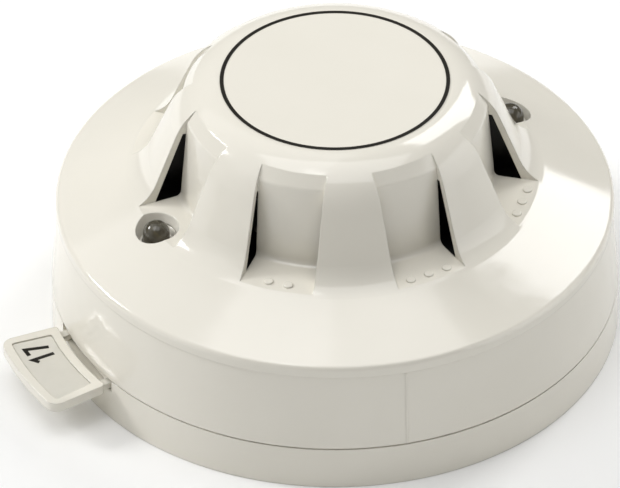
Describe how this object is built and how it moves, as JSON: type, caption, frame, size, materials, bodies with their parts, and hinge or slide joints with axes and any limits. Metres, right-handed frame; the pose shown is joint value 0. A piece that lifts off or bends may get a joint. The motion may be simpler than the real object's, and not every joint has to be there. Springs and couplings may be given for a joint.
{
  "type": "heat detector",
  "caption": "Ceiling heat detector head with sloping fins round a domed sensing chamber, twisted onto a round mounting base with a slide-in address card.",
  "frame": {"origin": "centre of the cable entry at the mounting base's back face", "axes": "+Z from the back face towards the domed top, -X the way the address card slides out, indicator lights on +X and -X"},
  "size_m": [0.1116, 0.1, 0.05],
  "materials": {
    "white_polycarbonate": "gloss, moulded",
    "black_polycarbonate": "satin, moulded",
    "black_ink": "pad printed",
    "label_film": "matt film",
    "stainless_steel": "stamped",
    "zinc_plated_steel": "plated",
    "tinned_brass": "tinned",
    "circuit_laminate": "solder mask",
    "tinned_steel": "tin plated",
    "chip_epoxy": "moulded",
    "capacitor_sleeve": "shrunk sleeve",
    "suppressor_coating": "dipped",
    "chip_ceramic": "fired",
    "led_epoxy": "clear tinted, cast",
    "thermistor_epoxy": "dipped",
    "white_acetal": "moulded",
    "black_oxide_steel": "black oxide"
  },
  "bodies": {
    "base": {"mounting_base": "white_polycarbonate", "terminal_contact_1": "stainless_steel", "terminal_contact_2": "stainless_steel", "terminal_contact_3": "stainless_steel", "terminal_contact_4": "stainless_steel", "terminal_clamps": "zinc_plated_steel", "terminal_screws": "zinc_plated_steel"},
    "head": {"outer_cover": "white_polycarbonate", "head_chassis": "white_polycarbonate", "inner_cage": "black_polycarbonate", "thermistor_post": "black_polycarbonate", "led_sleeves": "black_polycarbonate", "printed_ring": "black_ink", "contact_wiper_1": "stainless_steel", "contact_wiper_2": "stainless_steel", "contact_wiper_3": "stainless_steel", "contact_wiper_4": "stainless_steel", "cover_screws": "zinc_plated_steel", "board_screws": "zinc_plated_steel", "contact_pins": "tinned_brass", "led_leads": "tinned_brass", "thermistor_leads": "tinned_brass", "circuit_board": "circuit_laminate", "shield_can": "tinned_steel", "snap_domes": "tinned_steel", "microcontroller": "chip_epoxy", "storage_capacitor": "capacitor_sleeve", "surge_suppressor": "suppressor_coating", "chip_components": "chip_ceramic", "led_card_side": "led_epoxy", "led_far_side": "led_epoxy", "thermistor_bead": "thermistor_epoxy"},
    "card": {"address_card": "white_polycarbonate", "card_label": "label_film", "card_number": "black_ink"},
    "lock": {"locking_screw": "black_oxide_steel"},
    "button_1": {"address_button_1": "white_acetal"},
    "button_2": {"address_button_2": "white_acetal"},
    "button_3": {"address_button_3": "white_acetal"},
    "button_4": {"address_button_4": "white_acetal"},
    "button_5": {"address_button_5": "white_acetal"},
    "button_6": {"address_button_6": "white_acetal"},
    "button_7": {"address_button_7": "white_acetal"}
  },
  "joints": [
    {"name": "head_twist", "type": "hinge", "parent": "base", "child": "head", "pos_m": [0, 0, 0.008], "axis": [0, 0, 1], "range_deg": [0, 20]},
    {"name": "card_slide", "type": "slide", "parent": "base", "child": "card", "axis": [-1, 0, 0], "range_m": [0, 0.022]},
    {"name": "lock_screw_travel", "type": "slide", "parent": "head", "child": "lock", "axis": [0, 1, 0], "range_m": [-0.0015, 0]},
    {"name": "button_1_press", "type": "slide", "parent": "head", "child": "button_1", "axis": [0, 0, 1], "range_m": [0, 0.0006], "stiffness_N_per_m": 100},
    {"name": "button_2_press", "type": "slide", "parent": "head", "child": "button_2", "axis": [0, 0, 1], "range_m": [0, 0.0006], "stiffness_N_per_m": 100},
    {"name": "button_3_press", "type": "slide", "parent": "head", "child": "button_3", "axis": [0, 0, 1], "range_m": [0, 0.0006], "stiffness_N_per_m": 100},
    {"name": "button_4_press", "type": "slide", "parent": "head", "child": "button_4", "axis": [0, 0, 1], "range_m": [0, 0.0006], "stiffness_N_per_m": 100},
    {"name": "button_5_press", "type": "slide", "parent": "head", "child": "button_5", "axis": [0, 0, 1], "range_m": [0, 0.0006], "stiffness_N_per_m": 100},
    {"name": "button_6_press", "type": "slide", "parent": "head", "child": "button_6", "axis": [0, 0, 1], "range_m": [0, 0.0006], "stiffness_N_per_m": 100},
    {"name": "button_7_press", "type": "slide", "parent": "head", "child": "button_7", "axis": [0, 0, 1], "range_m": [0, 0.0006], "stiffness_N_per_m": 100}
  ]
}
